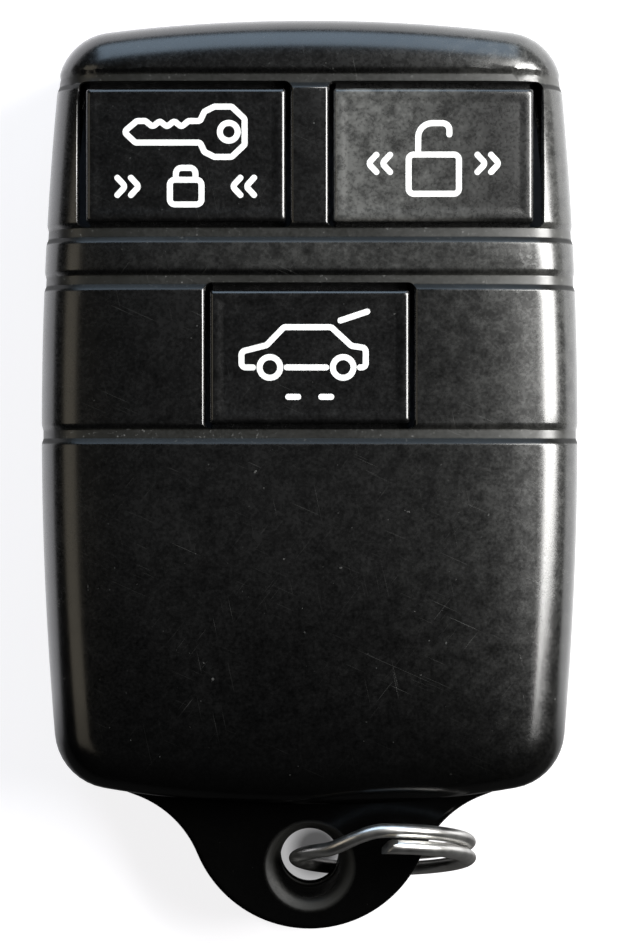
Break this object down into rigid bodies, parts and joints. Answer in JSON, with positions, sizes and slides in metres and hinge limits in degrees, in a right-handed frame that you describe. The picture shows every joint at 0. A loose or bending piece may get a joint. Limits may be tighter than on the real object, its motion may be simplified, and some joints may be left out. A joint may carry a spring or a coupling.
{
  "type": "car key fob",
  "caption": "Black keyless-entry car key fob with flush push buttons, a snap-fit two-part case with coin cells, and a lug carrying a split key ring.",
  "frame": {"origin": "under the middle of the overall length, on the back face", "axes": "+Y from the lug towards the top end, +Z out of the front face, +X to the right seen from the front"},
  "size_m": [0.038, 0.0646, 0.0148],
  "materials": {
    "shell_plastic": "satin black moulded plastic, fine grain, worn",
    "key_plastic": "semi-gloss black key",
    "key_print": "white printed marks",
    "carbon": "conductive carbon rubber",
    "keypad_rubber": "grey silicone",
    "board_laminate": "green solder mask on glass laminate",
    "board_copper": "plated copper track",
    "chip_epoxy": "moulded black epoxy",
    "tinned_metal": "tinned spring metal",
    "can_metal": "nickelled can",
    "resonator_blue": "blue dipped ceramic",
    "capacitor_ceramic": "tan ceramic",
    "cell_steel": "nickelled cell case",
    "cell_seal": "moulded seal",
    "ring_nickel": "nickelled spring steel, rubbed"
  },
  "bodies": {
    "case": {"front_shell": "shell_plastic", "rear_cover": "shell_plastic", "lock_dome": "keypad_rubber", "unlock_dome": "keypad_rubber", "hatch_dome": "keypad_rubber", "keypad_membrane": "keypad_rubber", "circuit_board": "board_laminate", "contact_pads": "board_copper", "antenna_loop": "board_copper", "encoder_chip": "chip_epoxy", "chip_leads": "tinned_metal", "saw_resonator": "can_metal", "ceramic_resonator": "resonator_blue", "transistor": "chip_epoxy", "chip_resistors": "chip_epoxy", "chip_capacitors": "capacitor_ceramic", "battery_clip_positive": "tinned_metal", "battery_contact_negative": "tinned_metal", "lower_cell_can": "cell_steel", "lower_cell_seal": "cell_seal", "lower_cell_cap": "cell_steel", "upper_cell_can": "cell_steel", "upper_cell_seal": "cell_seal", "upper_cell_cap": "cell_steel"},
    "lock_button": {"lock_keycap": "key_plastic", "lock_pill": "carbon"},
    "unlock_button": {"unlock_keycap": "key_plastic", "unlock_pill": "carbon"},
    "hatch_button": {"hatch_keycap": "key_plastic", "hatch_pill": "carbon"},
    "key_ring": {"split_ring": "ring_nickel"}
  },
  "joints": [
    {"name": "lock_press", "type": "slide", "parent": "case", "child": "lock_button", "axis": [0, 0, -1], "range_m": [0, 0.0008], "stiffness_N_per_m": 500, "deforming": ["lock_dome"]},
    {"name": "unlock_press", "type": "slide", "parent": "case", "child": "unlock_button", "axis": [0, 0, -1], "range_m": [0, 0.0008], "stiffness_N_per_m": 500, "deforming": ["unlock_dome"]},
    {"name": "hatch_press", "type": "slide", "parent": "case", "child": "hatch_button", "axis": [0, 0, -1], "range_m": [0, 0.0008], "stiffness_N_per_m": 500, "deforming": ["hatch_dome"]},
    {"name": "ring_swing", "type": "hinge", "parent": "case", "child": "key_ring", "pos_m": [0, -0.0275, 0.005], "axis": [0, 0, 1], "range_deg": [-180, 0]}
  ]
}
